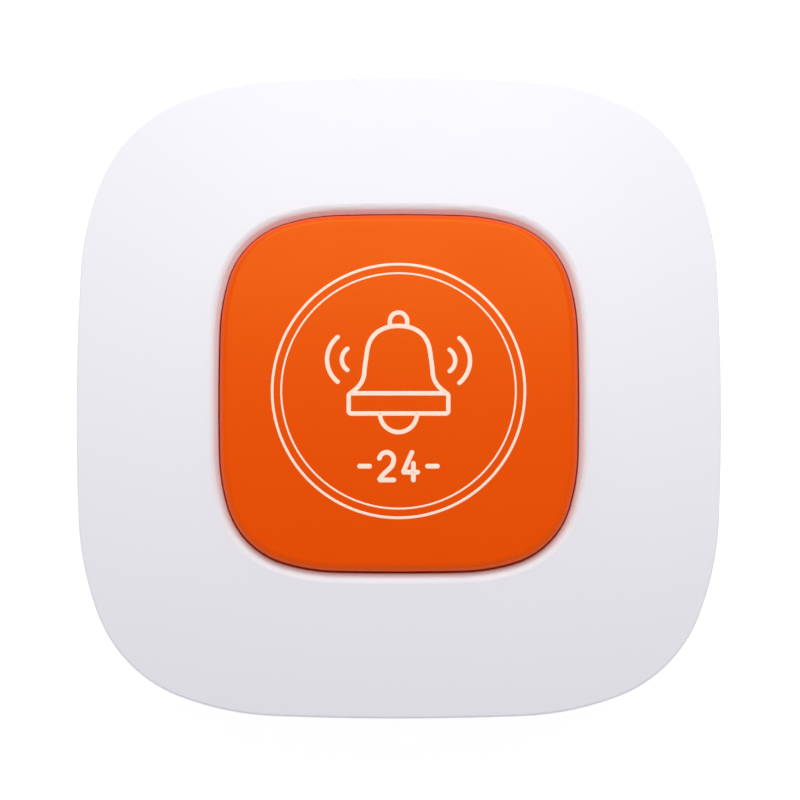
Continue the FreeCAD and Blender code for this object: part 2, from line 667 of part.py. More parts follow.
def make_bottom_case():
    body = new_body("bottom_case")
    sketch = new_sketch(body, "outline", BASE)
    outline(sketch, "case")
    pad(body, sketch, "base_depth", "block")
    fillet(body, level_edge(BASE), "base_fillet", "base edge")
    hollow(body, PARTING, "case_wall")

    sketch = new_sketch(body, "tongue", PARTING)
    outline(sketch, "case", "tongue_inset + fit_gap")
    outline(sketch, "case", "case_wall")
    pad(body, sketch, "tongue_height", "tongue")

    # The battery seat, its well and the bayonet for the door.
    sketch = new_sketch(body, "seat", f"{BASE} + case_wall / 2")
    circle(sketch, SEAT_RADIUS)
    pad(body, sketch, f"{LEDGE_TOP} - {BASE} - case_wall / 2", "seat")
    sketch = new_sketch(body, "well", f"{LEDGE_TOP} - bayonet_ledge / 2")
    circle(sketch, f"{WELL_RADIUS} + well_wall")
    circle(sketch, WELL_RADIUS)
    pad(body, sketch, f"{BOARD_BOTTOM} - {LEDGE_TOP} + bayonet_ledge / 2 - 4 * fit_gap", "well")
    # Screw bosses, tied to the well by gussets.
    sketch = new_sketch(body, "boss", f"{BASE} + case_wall / 2")
    circle(sketch, "base_boss_radius", BOSS_PLACE, BOSS_PLACE)
    polar(body, [pad(body, sketch, f"{PARTING} - {BASE} - case_wall / 2", "boss")], 4, "bosses")
    sketch = new_sketch(body, "gusset", f"{BASE} + case_wall / 2", turn="45")
    near = f"({WELL_RADIUS} + well_wall / 2)"
    far = f"({BOSS_REACH} - base_boss_radius / 2 - screw_hole_radius)"
    rectangle(sketch, f"({near} + {far}) / 2", "0", f"{far} - {near}", "rib_thickness")
    polar(body, [pad(body, sketch, f"{PARTING} - {FLOOR}", "gusset")], 4, "gussets")

    # The door's recess, the ledge that its lugs turn over, with notches to let them in and
    # stops that end the turn both ways.
    sketch = new_sketch(body, "counterbore", BASE)
    circle(sketch, COUNTERBORE_RADIUS)
    pocket(body, sketch, f"{LEDGE_BOTTOM} - {BASE}", "door recess")
    sketch = new_sketch(body, "mouth", BASE)
    circle(sketch, f"{RING_OUTER} + door_gap")
    pocket(body, sketch, f"{LEDGE_TOP} - {BASE}", "cell opening")
    sketch = new_sketch(body, "notch", LEDGE_BOTTOM, turn=f"{LOCKED} - door_turn")
    sector(sketch, RING_INNER, WELL_RADIUS, "notch_half_angle")
    polar(body, [pocket(body, sketch, "bayonet_ledge", "notch")], 3, "notches")
    free = "(120 - door_turn - 2 * lug_half_angle)"
    turn = f"{LOCKED} - door_turn - lug_half_angle - {free} / 2"
    sketch = new_sketch(body, "stop", f"{LEDGE_TOP} - bayonet_ledge / 2", turn=turn)
    sector(sketch, f"{RING_OUTER} + door_gap", f"{WELL_RADIUS} + well_wall / 2", f"({free} / 2 - stop_gap)")
    polar(body, [pad(body, sketch, f"{LUG_TOP} - {LEDGE_TOP} + bayonet_ledge / 2", "stop")], 3, "stops")

    # Stepped holes for the screws.
    sketch = new_sketch(body, "screw_axes", BASE)
    for x, y in (("", ""), ("-", ""), ("-", "-"), ("", "-")):
        circle(sketch, "screw_hole_radius", f"{x}{BOSS_PLACE}", f"{y}{BOSS_PLACE}")
    doc.recompute()
    hole = body.newObject("PartDesign::Hole", "screw_holes")
    hole.Profile = sketch
    hole.Reversed = True
    hole.ThreadType = "None"
    hole.DepthType = "Dimension"
    hole.DrillPoint = "Flat"
    bind(hole, "Diameter", "2 * screw_hole_radius")
    bind(hole, "Depth", "base_depth + case_wall")
    hole.HoleCutType = "Counterbore"
    hole.HoleCutCustomValues = True
    bind(hole, "HoleCutDiameter", "2 * head_hole_radius")
    bind(hole, "HoleCutDepth", "screw_sink + screw_head_height")
    cut_something(body, hole, "screw holes")

    # Recesses for the feet.
    sketch = new_sketch(body, "foot_recess", BASE)
    stadium(sketch, "foot_middle", "(foot_length + 2 * fit_gap)", "(foot_width + 2 * fit_gap)")
    polar(body, [pocket(body, sketch, "foot_recess", "foot recess")], 4, "foot recesses")

    # Posts under the circuit board, with pins that locate it.
    sketch = new_sketch(body, "post", f"{BASE} + case_wall / 2")
    circle(sketch, "board_post_radius", POST_PLACE, POST_SIDE)
    post = pad(body, sketch, f"{BOARD_BOTTOM} - {BASE} - case_wall / 2", "post")
    sketch = new_sketch(body, "pin", f"{BOARD_BOTTOM} - board_thickness")
    circle(sketch, "locating_pin_radius", POST_PLACE, POST_SIDE)
    tip = pad(body, sketch, "2 * board_thickness", "locating pin")
    polar(body, [post, tip], 4, "posts and pins")

    chamfer(body, both(level_edge(PARTING), on_outline("case")), "parting_chamfer", "parting edge")
    return body


def make_housing_gasket():
    body = new_body("housing_gasket")
    sketch = new_sketch(body, "ring", TONGUE_TOP)
    outline(sketch, "case", "tongue_inset + fit_gap")
    outline(sketch, "case", "case_wall - fit_gap")
    pad(body, sketch, "gasket_height", "ring")
    return body


# ---------------------------------------------------------------- button and its seal
def make_button_cap():
    body = new_body("button_cap")
    sketch = new_sketch(body, "outline", SKIRT_BOTTOM)
    outline(sketch, "cap")
    pad(body, sketch, f"{CAP_APEX} - {SKIRT_BOTTOM} + cap_wall", "block")
    dome(body, CAP_APEX, "cap_dome_radius", "cap_width * 0.8")
    hollow(body, SKIRT_BOTTOM, "cap_wall")
    fillet(body, top_of_sides(body, "cap"), "cap_edge_fillet", "top edge")

    # Four snap hooks. Each leg runs down from the skirt, past the shelf, to a barb under it.
    under = f"({CAP_APEX} - {sag('cap_dome_radius', HOOK_FACE)} - 0.8 * cap_wall)"
    back, root = f"({HOOK_FACE} - hook_thickness)", f"({HOOK_FACE} + hook_root)"
    tip = f"({HOOK_FACE} + hook_catch)"
    profile = [(back, BARB_BOTTOM), (HOOK_FACE, BARB_BOTTOM), (tip, f"{SHELF_BOTTOM} - barb_height / 3")]
    profile += [(tip, SHELF_BOTTOM), (HOOK_FACE, SHELF_BOTTOM), (HOOK_FACE, SKIRT_BOTTOM)]
    profile += [(root, SKIRT_BOTTOM), (root, under), (back, under)]
    sketch = new_sketch(body, "hook", plane="XZ_Plane")
    polygon(sketch, profile)
    polar(body, [pad(body, sketch, "hook_width", "hook", both_ways=True)], 4, "hooks")

    sketch = new_sketch(body, "post", PUSHER_TOP)
    circle(sketch, "post_radius")
    pad(body, sketch, f"{CAP_UNDERSIDE} - {PUSHER_TOP} + cap_wall / 2", "post")
    sketch = new_sketch(body, "rib", f"{under} + cap_wall / 5 - cap_rib_height")
    length = f"({HOOK_FACE} - hook_thickness / 2)"
    rectangle(sketch, f"{length} / 2", "0", length, "rib_thickness")
    polar(body, [pad(body, sketch, "cap_rib_height", "rib")], 4, "ribs")
    return body


def make_seal_boot():
    """A silicone tray over the switch: a flange under the collar, a wall, a thin top and a
    pusher between the cap's post and the plunger."""
    body = new_body("seal_boot")
    sketch = new_sketch(body, "flange", BOARD_TOP)
    outline(sketch, "cap", FLANGE_OUTLINE)
    pad(body, sketch, "boot_flange", "flange")
    sketch = new_sketch(body, "wall", f"{BOARD_TOP} + boot_flange / 2")
    outline(sketch, "cap", BOOT_OUTLINE)
    pad(body, sketch, f"{WEB_TOP} - {BOARD_TOP} - boot_flange / 2", "block")
    fillet(body, level_edge(WEB_TOP), "boot_fillet", "shoulder")
    sketch = new_sketch(body, "room", BOARD_TOP)
    outline(sketch, "cap", f"{BOOT_OUTLINE} + boot_wall")
    pocket(body, sketch, f"{WEB_BOTTOM} - {BOARD_TOP}", "room")
    sketch = new_sketch(body, "pusher", WEB_BOTTOM)
    circle(sketch, "pusher_radius")
    pad(body, sketch, f"{PUSHER_TOP} - {WEB_BOTTOM}", "pusher")
    sketch = new_sketch(body, "flex", f"{WEB_TOP} - boot_web / 2")
    circle(sketch, "3 * pusher_radius")
    circle(sketch, "2 * pusher_radius")
    pocket(body, sketch, "boot_web", "flex groove")
    return body


# ---------------------------------------------------------------- electronics
def make_circuit_board():
    body = new_body("circuit_board")
    sketch = new_sketch(body, "outline", BOARD_BOTTOM)
    outline(sketch, "cap", BOARD_OUTLINE)
    pad(body, sketch, "board_thickness", "board")
    sketch = new_sketch(body, "pin_hole", BOARD_BOTTOM)
    circle(sketch, "locating_pin_radius + fit_gap", POST_PLACE, POST_SIDE)
    polar(body, [pocket(body, sketch, "board_thickness", "pin hole")], 4, "pin holes")
    return body


def make_switch():
    """A tact switch, 6 mm square: base, steel plate, plunger, snap dome and four legs."""
    plate_bottom = f"({BOARD_TOP} + switch_base_height)"
    floor = f"({BOARD_TOP} + switch_base_height / 4)"
    snap_top = f"({floor} + snap_rise)"
    flange = "(plunger_radius + 4.5 * plunger_clearance)"
    flange_bottom = f"({plate_bottom} - snap_rise)"
    room = f"({flange} + 2 * plunger_clearance)"

    base = new_body("switch_base")
    sketch = new_sketch(base, "outline", BOARD_TOP)
    rectangle(sketch, "0", "0", "switch_width", "switch_width")
    pad(base, sketch, "switch_base_height", "block")
    sketch = new_sketch(base, "room", floor)
    circle(sketch, room)
    pocket(base, sketch, "switch_base_height", "dome room")
    chamfer(base, both(upright, beyond("0.9 * switch_width / 2")), "2 * lead_sheet", "corners")

    plate = new_body("switch_plate")
    sketch = new_sketch(plate, "outline", plate_bottom)
    rectangle(sketch, "0", "0", "switch_width - 2 * lead_sheet", "switch_width - 2 * lead_sheet")
    circle(sketch, "plunger_radius + plunger_clearance")
    pad(plate, sketch, "switch_plate", "plate")

    plunger = new_body("switch_plunger")
    sketch = new_sketch(plunger, "profile", plane="XZ_Plane")
    nub = "(plunger_radius / 3)"
    steps = [("0", snap_top), (nub, snap_top), (nub, flange_bottom), (flange, flange_bottom)]
    steps += [(flange, plate_bottom), ("plunger_radius", plate_bottom), ("plunger_radius", WEB_BOTTOM)]
    steps += [("0", WEB_BOTTOM)]
    polygon(sketch, steps)
    revolve(plunger, sketch, "turned profile")

    snap = new_body("switch_dome")
    sketch = new_sketch(snap, "profile", plane="XZ_Plane")
    rim = f"({room} - plunger_clearance)"
    drops = [("0", "0"), (f"0.45 * {rim}", "0.15 * snap_rise"), (f"0.8 * {rim}", "0.55 * snap_rise")]
    upper = [(x, f"{snap_top} - {drop}") for x, drop in drops] + [(rim, f"{floor} + snap_sheet")]
    lower = [(rim, floor)] + [(x, f"{snap_top} - {drop} - snap_sheet") for x, drop in reversed(drops)]
    polygon(sketch, upper + lower)
    revolve(snap, sketch, "pressed sheet")

    legs = new_body("switch_legs")
    pads = []
    for name, side in (("far_leg", ""), ("leg", "-")):
        sketch = new_sketch(legs, name, f"{side}switch_leg_pitch / 2", plane="XZ_Plane")
        polygon(sketch, bent_lead("switch_width / 2", "1", f"{BOARD_TOP} + lead_foot"))
        pads.append(pad(legs, sketch, "switch_leg_width", "leg", both_ways=True))
    polar(legs, pads, 2, "legs")
    return [base, plate, plunger, snap, legs]


def bent_lead(face, way, top):
    """Profile of a lead: down a part's side face from top, then out along the board.
    way is 1 or -1, the direction that it leaves in."""
    near, far = f"{face} + {way} * lead_sheet", f"{face} + {way} * (lead_sheet + lead_foot)"
    foot = f"{BOARD_TOP} + lead_sheet"
    return [(face, top), (near, top), (near, foot), (far, foot), (far, BOARD_TOP), (face, BOARD_TOP)]


def make_transmitter():
    """An eight-lead chip, lifted a little on its leads, and the leads."""
    body = new_body("transmitter_chip")
    sketch = new_sketch(body, "outline", f"{BOARD_TOP} + chip_lift")
    rectangle(sketch, CHIP_X, CHIP_Y, "chip_length", "chip_width")
    pad(body, sketch, "chip_height - chip_lift", "block")
    chamfer(body, level_edge(f"{BOARD_TOP} + chip_height"), "lead_sheet", "mould draft")

    leads = new_body("transmitter_leads")
    for side, way in (("near", "-1"), ("far", "1")):
        sketch = new_sketch(leads, side, f"{CHIP_X} - 1.5 * chip_lead_pitch", plane="YZ_Plane")
        side_face = f"{CHIP_Y} + {way} * chip_width / 2"
        polygon(sketch, bent_lead(side_face, way, f"{BOARD_TOP} + chip_height / 2"))
        lead = pad(leads, sketch, "chip_lead_width", f"{side} lead", both_ways=True)
        row = leads.newObject("PartDesign::LinearPattern", f"{side}_leads")
        row.Originals = [lead]
        row.Direction = (axis(leads, "X_Axis"), [""])
        bind(row, "Length", "3 * chip_lead_pitch")
        row.Occurrences = 4
        finish(leads, row, f"{side} leads")
    return [body, leads]


def make_crystal():
    body = new_body("crystal")
    sketch = new_sketch(body, "foot", BOARD_TOP)
    stadium(sketch, "0", "crystal_length", "crystal_width")
    pad(body, sketch, "crystal_flange", "foot")
    sketch = new_sketch(body, "can", f"{BOARD_TOP} + crystal_flange / 2")
    stadium(sketch, "0", "crystal_length - 2 * crystal_flange", "crystal_width - 2 * crystal_flange")
    pad(body, sketch, "crystal_height - crystal_flange / 2", "can")
    fillet(body, level_edge(f"{BOARD_TOP} + crystal_height"), "crystal_flange", "top edge")
    body.Placement.Rotation = FreeCAD.Rotation(FreeCAD.Vector(0, 0, 1), 90)
    bind(body, "Placement.Base.x", CRYSTAL_X)
    bind(body, "Placement.Base.y", CRYSTAL_Y)
    return body


def make_blocks(label, places, length, width, height):
    """Equal blocks on the board, in one node, each at its own (x, y)."""
    body = new_body(label)
    sketch = new_sketch(body, "outlines", BOARD_TOP)
    for x, y in places:
        rectangle(sketch, x, y, length, width)
    pad(body, sketch, height, "blocks")
    return body


def make_small_parts():
    """The transistor, capacitors and resistors round the switch."""
    place = [(TRANSISTOR_X, TRANSISTOR_Y)]
    transistor = make_blocks(
        "transistor", place, "transistor_length", "transistor_width", "transistor_height"
    )
    antenna_row = f"(({ANTENNA_Y} - antenna_radius + switch_width / 2) / 2)"
    crystal_row = f"({CRYSTAL_Y} + crystal_width / 2 + chip_part_width)"
    places = [(f"{k} * 1.5 * chip_part_length", antenna_row) for k in (-1, 0, 1)]
    places += [(f"{CRYSTAL_X} + {k} * chip_part_length", crystal_row) for k in (-1, 1)]
    capacitors = make_blocks(
        "chip_capacitors", places, "chip_part_length", "chip_part_width", "capacitor_height"
    )
    places = [(f"-{TRANSISTOR_X}", f"{k} * part_pitch") for k in (-1, 0, 1)]
    places += [(TRANSISTOR_X, f"{k} * part_pitch") for k in (0, 1)]
    resistors = make_blocks(
        "chip_resistors", places, "chip_part_length", "chip_part_width", "resistor_height"
    )
    return [transistor, capacitors, resistors]


def make_antenna():
    """A coil of wire along X. It is wound about its body's own Z axis, then laid down, so
    that the body's X points at the board."""
    body = new_body("antenna_coil")
    sketch = new_sketch(body, "wire", plane="XZ_Plane")
    circle(sketch, "antenna_wire / 2", "antenna_radius", "0")
    coil = body.newObject("PartDesign::AdditiveHelix", "coil")
    coil.Profile = sketch
    coil.ReferenceAxis = (sketch, ["V_Axis"])
    coil.Mode = "pitch-turns-angle"
    bind(coil, "Pitch", "antenna_pitch")
    bind(coil, "Turns", "antenna_turns")
    finish(body, coil, "coil")
    reach = "(antenna_wire / 2 + antenna_lift)"
    for name, along in (("near_end", "0"), ("far_end", "antenna_pitch * antenna_turns")):
        sketch = new_sketch(body, name, "antenna_radius", plane="YZ_Plane")
        circle(sketch, "0.49 * antenna_wire", "0", along)
        pad(body, sketch, reach, name.replace("_", " "))
    body.Placement.Rotation = FreeCAD.Rotation(FreeCAD.Vector(0, 1, 0), 90)
    bind(body, "Placement.Base.x", "-antenna_pitch * antenna_turns / 2")
    bind(body, "Placement.Base.y", ANTENNA_Y)
    bind(body, "Placement.Base.z", f"{BOARD_TOP} + antenna_radius + {reach}")
    return body


# ---------------------------------------------------------------- battery and its door
def make_battery_cell():
    body = new_body("battery_cell")
    sketch = new_sketch(body, "profile", plane="XZ_Plane")
    can_top = f"({CELL_TOP} - cell_cap_height)"
    cap = f"({CELL_RADIUS} - cell_step)"
    can = [("0", CELL_BOTTOM), (CELL_RADIUS, CELL_BOTTOM), (CELL_RADIUS, can_top)]
    polygon(sketch, can + [(cap, can_top), (cap, CELL_TOP), ("0", CELL_TOP)])
    revolve(body, sketch, "can and cap")
    fillet(body, widest(CELL_RADIUS), "cell_edge", "can edges")
    return body


def make_battery_contacts():
    """Two bent leaves soldered under the board: one presses on the side of the cell, the
    other on its negative cap."""
    positive = new_body("battery_contact_positive")
    sketch = new_sketch(positive, "profile", plane="XZ_Plane")
    near = f"({CELL_RADIUS} + contact_gap)"
    bend = f"({near} + 2 * contact_sheet)"
    middle = f"({CELL_TOP} - cell_height / 4)"
    low = f"({LUG_TOP} + 2 * fit_gap)"
    under = f"({BOARD_BOTTOM} - contact_sheet)"
    back, knee, end = f"({near} + contact_sheet)", f"({bend} + contact_sheet)", f"({bend} + contact_pad)"
    leaf = [(near, middle), (bend, low), (knee, low), (back, middle)]
    polygon(sketch, leaf + [(knee, under), (end, under), (end, BOARD_BOTTOM), (bend, BOARD_BOTTOM)])
    pad(positive, sketch, "contact_width", "leaf", both_ways=True)

    negative = new_body("battery_contact_negative")
    sketch = new_sketch(negative, "profile", plane="XZ_Plane")
    tab, knee, press = "(-2.5 * contact_pad)", "(-1.5 * contact_pad)", "(contact_pad / 4)"
    back = f"({CELL_TOP} + contact_sheet)"
    leaf = [(tab, BOARD_BOTTOM), (tab, under), (knee, under), (f"-{press}", CELL_TOP), (press, CELL_TOP)]
    polygon(sketch, leaf + [(press, back), (f"-{press}", back), (knee, BOARD_BOTTOM)])
    pad(negative, sketch, "contact_width", "leaf", both_ways=True)
    return [positive, negative]


def make_battery_door():
    """A round door with a bayonet: a ring that holds the cell, with three lugs outside it."""
    body = new_body("battery_door")
    sketch = new_sketch(body, "profile", plane="XZ_Plane")
    steps = [("0", DOOR_FACE), (DOOR_RADIUS, DOOR_FACE), (DOOR_RADIUS, RIM_TOP), (RING_OUTER, RIM_TOP)]
    steps += [(RING_OUTER, LUG_TOP), (RING_INNER, LUG_TOP), (RING_INNER, CELL_BOTTOM), ("0", CELL_BOTTOM)]
    polygon(sketch, steps)
    revolve(body, sketch, "turned profile")
    chamfer(body, both(level_edge(DOOR_FACE), beyond(RING_INNER)), "parting_chamfer", "face edge")
    sketch = new_sketch(body, "lug", LUG_BOTTOM, turn=LOCKED)
    sector(sketch, f"{RING_OUTER} - door_ring_wall / 2", LUG_RADIUS, "lug_half_angle")
    polar(body, [pad(body, sketch, "lug_thickness", "lug")], 3, "lugs")
    sketch = new_sketch(body, "coin_slot", DOOR_FACE)
    stadium(sketch, "0", "coin_slot_length", "coin_slot_width")
    pocket(body, sketch, "coin_slot_depth", "coin slot")
    return body


def make_door_seal():
    body = new_body("battery_door_seal")
    sketch = new_sketch(body, "section", plane="XZ_Plane")
    circle(sketch, "seal_section / 2", f"({SEAL_INNER} + {SEAL_OUTER}) / 2", f"{RIM_TOP} + seal_section / 2")
    revolve(body, sketch, "ring")
    return body


# ---------------------------------------------------------------- fixings
def make_case_screws():
    """Four screws, head down, in one node."""
    body = new_body("case_screws")
    sketch = new_sketch(body, "head", f"{HEAD_SEAT} - screw_head_height")
    circle(sketch, "screw_head_radius", BOSS_PLACE, BOSS_PLACE)
    head = pad(body, sketch, "screw_head_height", "head")
    sketch = new_sketch(body, "shank", HEAD_SEAT)
    circle(sketch, "screw_radius", BOSS_PLACE, BOSS_PLACE)
    shank = pad(body, sketch, "screw_length", "shank")
    sketch = new_sketch(body, "drive", f"{HEAD_SEAT} - screw_head_height")
    cross(sketch, BOSS_PLACE, "screw_drive_radius", "screw_drive_radius / 3")
    drive = pocket(body, sketch, "screw_drive_depth", "cross recess")
    polar(body, [head, shank, drive], 4, "four screws")
    return body


def cross(sketch, place, reach, half):
    """A plus sign centred on (place, place): its arms reach that far and are 2 half wide."""
    turns = [(reach, half), (half, half), (half, reach)]
    corners = []
    for x_sign, y_sign in (("", ""), ("-", ""), ("-", "-"), ("", "-")):
        ordered = turns if x_sign == y_sign else turns[::-1]
        corners += [(f"{place} + {x_sign}1 * {x}", f"{place} + {y_sign}1 * {y}") for x, y in ordered]
    polygon(sketch, corners)


def make_rubber_feet():
    body = new_body("rubber_feet")
    sketch = new_sketch(body, "bar", "0")
    stadium(sketch, "foot_middle", "foot_length", "foot_width")
    polar(body, [pad(body, sketch, "foot_proud + foot_recess", "bar")], 4, "four bars")
    fillet(body, level_edge("0"), "foot_edge", "lower edge")
    return body


PIECES = [
    make_top_cover,
    make_bottom_case,
    make_housing_gasket,
    make_button_cap,
    make_seal_boot,
    make_circuit_board,
    make_switch,
    make_transmitter,
    make_crystal,
    make_small_parts,
    make_antenna,
    make_battery_cell,
    make_battery_contacts,
    make_battery_door,
    make_door_seal,
    make_case_screws,
    make_rubber_feet,
]


def check(thing):
    if any(word in thing.State for word in ("Invalid", "Error")):
        raise RuntimeError(f"{thing.Label} failed: {thing.State}")


def main():
    made = []
    for make in PIECES:
        found = make()
        made += found if isinstance(found, list) else [found]
    doc.recompute()
    for thing in doc.Objects:
        check(thing)
    os.makedirs("parts", exist_ok=True)
    for thing in made:
        shape = thing.Shape
        if shape.isNull() or not shape.isValid() or not shape.Solids:
            raise RuntimeError(f"{thing.Label} has no valid solid")
        shape.exportStep(f"parts/{thing.Label}.step")
        print(f"{thing.Label}: {len(shape.Solids)} solids, {shape.Volume:.1f} mm3, {len(shape.Faces)} faces")


if __name__ == "__main__":
    main()
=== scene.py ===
"""Looks of a wireless call button: a satin white case, an orange button and its screen print.

Every measure below is in metres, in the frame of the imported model: +Z up, +Y towards the top of
the print, origin on the table under the middle of the case.
"""

import json
import math
import bmesh
import bpy
import numpy as np
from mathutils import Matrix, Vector


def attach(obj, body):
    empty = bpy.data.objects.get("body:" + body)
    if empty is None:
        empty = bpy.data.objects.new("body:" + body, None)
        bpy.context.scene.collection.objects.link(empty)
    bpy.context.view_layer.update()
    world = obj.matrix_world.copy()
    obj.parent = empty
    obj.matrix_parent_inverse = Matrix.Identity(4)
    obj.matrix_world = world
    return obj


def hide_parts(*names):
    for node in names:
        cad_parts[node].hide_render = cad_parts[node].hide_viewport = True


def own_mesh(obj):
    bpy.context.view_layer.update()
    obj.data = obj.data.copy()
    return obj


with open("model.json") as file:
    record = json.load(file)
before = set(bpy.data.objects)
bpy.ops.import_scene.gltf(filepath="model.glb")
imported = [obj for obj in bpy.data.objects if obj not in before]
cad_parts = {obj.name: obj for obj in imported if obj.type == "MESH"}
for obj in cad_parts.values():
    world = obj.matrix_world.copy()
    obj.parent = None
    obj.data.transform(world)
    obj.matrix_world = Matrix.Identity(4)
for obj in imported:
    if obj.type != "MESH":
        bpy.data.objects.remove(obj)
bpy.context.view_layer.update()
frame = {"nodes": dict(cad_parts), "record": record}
MM = 0.001

# ------------------------------------------------------------------ the view
PICTURE = 800                       # pixels each way
PIXELS_PER_MM = 9.74                # at the height where the case is widest
WIDEST = 9.0 * MM                   # that height
DISTANCE = 350 * MM                 # from the camera to that height
ELEVATION = math.radians(84.63)
CASE_IN_PICTURE = (398.8, 400.65)   # pixel of the middle of the case
SENSOR = 36.0                       # millimetres

# ------------------------------------------------------------------ the light
ZENITH = 0.0                        # strength of the room overhead
HORIZON = 1.01                      # and level with the table
ROOM_COLOUR = (0.951, 0.951, 1.0)
SOFTBOX_PLACE = (0.012, 0.30, 0.42)
SOFTBOX_SIZE = 0.45
SOFTBOX_COLOUR = (1.0, 1.0, 0.955)
SOFTBOX_POWER = 1.92                # watts
TABLE_REACH = 3.0                   # from its middle to its sides
TABLE_COLOUR = (0.85, 0.85, 0.86)
TABLE_WHITE = 1.6                   # strength of the white that it shows as background
TABLE_WHITE_SHARE = 0.5             # the rest is the table itself, with the object's shadow

# ------------------------------------------------------------------ the cap's crown
CROWN_BAND = (10 * MM, 16 * MM)     # from the middle, where the crown is read from the cap's mesh
CROWN_FALL = 0.9 * MM               # the most that it falls there

# ------------------------------------------------------------------ the button's print
PRINT_SIZE = (0.992, 1.0)           # across and along, against the measures below
STROKE = 0.445 * MM                 # of the bell
BELL_DROP = 0.06 * MM               # of the bell below the middle of its rings
NUMBER_STROKE = 0.48 * MM
RINGS = ((12.71 * MM, 0.275 * MM), (11.80 * MM, 0.19 * MM))  # radius and stroke
PRINT_SHIFT = (-0.025 * MM, 0.075 * MM)   # the print sits a little off the cap's middle
INK = 0.018 * MM                    # how far the ink stands up
INK_SUNK = 0.03 * MM                # how far its underside lies in the cap
STEP = 0.05 * MM                    # between points along a stroke
FEWEST_STEPS = 8                    # in a stroke, however short
DOUBLED = 1e-7                      # points of a line closer than this, in its own units, are one
SECTION_POINTS = 16                 # round a stroke and round the bead
RING_POINTS = 399
STROKE_TIP = 0.002                  # share of half a width at which a stroke's round end starts
DIGITS = "24"
DIGIT_HEIGHT = 2.75 * MM            # between the middles of its strokes
DIGIT_WIDTH = 1.45 * MM
DIGIT_GAP = 0.95 * MM
DASH = (2.90 * MM, 3.90 * MM)       # from the middle of the number
NUMBER_MIDDLE = -7.58 * MM

# ------------------------------------------------------------------ the bead round the cap's skirt
BEAD_PROUD = 0.185 * MM             # of the skirt, in the gap round the cap
BEAD_ROOT = 0.3 * MM                # depth in the skirt
BEAD_DEPTH = 0.5 * MM               # from its top to its underside
BEAD_DROP = 1.6 * MM                # its top below the crown, carried on over the edge
BEAD_STEP = 0.2 * MM                # between its sections
BEAD_HEADINGS = 1440                # directions in which the cap's outline is read from its mesh

# ------------------------------------------------------------------ pieces that give way
# piece: (node, joint, share of its height left when the joint is at its limit)
GIVING = {
    "silicone_boot": ("seal_boot", "button_press", 0.898),
    "snap_dome": ("switch_dome", "plunger_press", 0.615),
}
SAME_POINT = 0.0005 * MM            # corners closer than this are one
SLOT_OF = {entry["node"]: entry["material_slot"] for entry in frame["record"]["subparts"]}

# ------------------------------------------------------------------ finishes
GRAIN_SCALE = 9000.0                # of a smooth mould, about 0.1 mm from grain to grain
DRIFT_SCALE = 90.0                  # of the slow drift in colour and gloss
SPECK_CELLS = 420.0                 # scale of the cells that can hold a speck of dust each
SPECK_SIZE = 0.05                   # of a speck, in cells
SPECK_SHARE = 0.05                  # of the cells that hold one
COLOUR_DRIFT = 1.2                  # how fast a plastic's colour follows its drift of gloss
GLOSS_DRIFT = 0.12                  # and how far its roughness does
SPECK_COVER = 0.35                  # how much a speck of dust hides what it lies on
SPECK_ROUGHNESS = 0.3               # how much rougher it is
PALE_DUST = (0.6, 0.58, 0.55)
STREAK_ROUGHNESS = 0.15             # how much rougher a metal is across a streak
STREAK_DEPTH = 0.01 * MM
INK_COLOUR, WORN_INK = (1.0, 0.775, 0.635), (1.0, 0.65, 0.47)
INK_ROUGHNESS = 0.4
INK_WEAR = 2600.0                   # scale of its worn patches
WEAR_GAIN, WEAR_OFFSET = 0.5, -0.12  # from their noise to the worn colour's share
WEAR_ROUGHNESS = 0.2                # how much rougher they are


# ------------------------------------------------------------------ small tools
def bezier(points, count=60):
    """A cubic Bezier curve: four points weighted by (1-t)^3, 3t(1-t)^2, 3t^2(1-t) and t^3."""
    t = np.linspace(0, 1, count)[:, None]
    a, b, c, d = (np.array(p, float) for p in points)
    return a * (1 - t) ** 3 + 3 * b * t * (1 - t) ** 2 + 3 * c * t**2 * (1 - t) + d * t**3


def arc(centre, radius, start, end, count=80):
    """Points of a circle round centre, from one angle in degrees to another."""
    angle = np.radians(np.linspace(start, end, count))
    return np.array(centre) + radius * np.stack([np.cos(angle), np.sin(angle)], axis=1)


def joined(*runs):
    """Runs of points one after another, without the doubled points where they meet."""
    points = np.concatenate([np.atleast_2d(np.array(run, float)) for run in runs])
    apart = np.linalg.norm(np.diff(points, axis=0), axis=1) > DOUBLED
    return points[np.concatenate([[True], apart])]


def evenly(points, closed, step=STEP):
    """The same line through points that are a step apart, found from the length along it, with
    each point's place along the line and the line's length."""
    if closed:
        points = np.concatenate([points, points[:1]])
    along = np.concatenate([[0], np.cumsum(np.linalg.norm(np.diff(points, axis=0), axis=1))])
    count = max(FEWEST_STEPS, int(along[-1] / step))
    at = np.linspace(0, along[-1], count + 1)
    at = at[:-1] if closed else at
    return np.stack([np.interp(at, along, points[:, k]) for k in (0, 1)], axis=1), at, along[-1]


def to_the_left(path, closed):
    """Unit directions at right angles to a path, to its left."""
    ahead = np.roll(path, -1, axis=0) - np.roll(path, 1, axis=0)
    if not closed:
        ahead[0], ahead[-1] = path[1] - path[0], path[-1] - path[-2]
    ahead /= np.linalg.norm(ahead, axis=1)[:, None]
    return np.stack([-ahead[:, 1], ahead[:, 0]], axis=1)


def tube_faces(rows, columns, closed):
    """Quads between the sections of a tube of points: rows of sections, each of columns points
    in a ring. A closed tube joins its last section to its first."""
    row = np.arange(rows if closed else rows - 1)[:, None]
    column = np.arange(columns)[None, :]
    here, there = row * columns, (row + 1) % rows * columns
    beside = (column + 1) % columns
    corners = here + column, there + column, there + beside, here + beside
    return np.stack(corners, axis=-1).reshape(-1, 4)


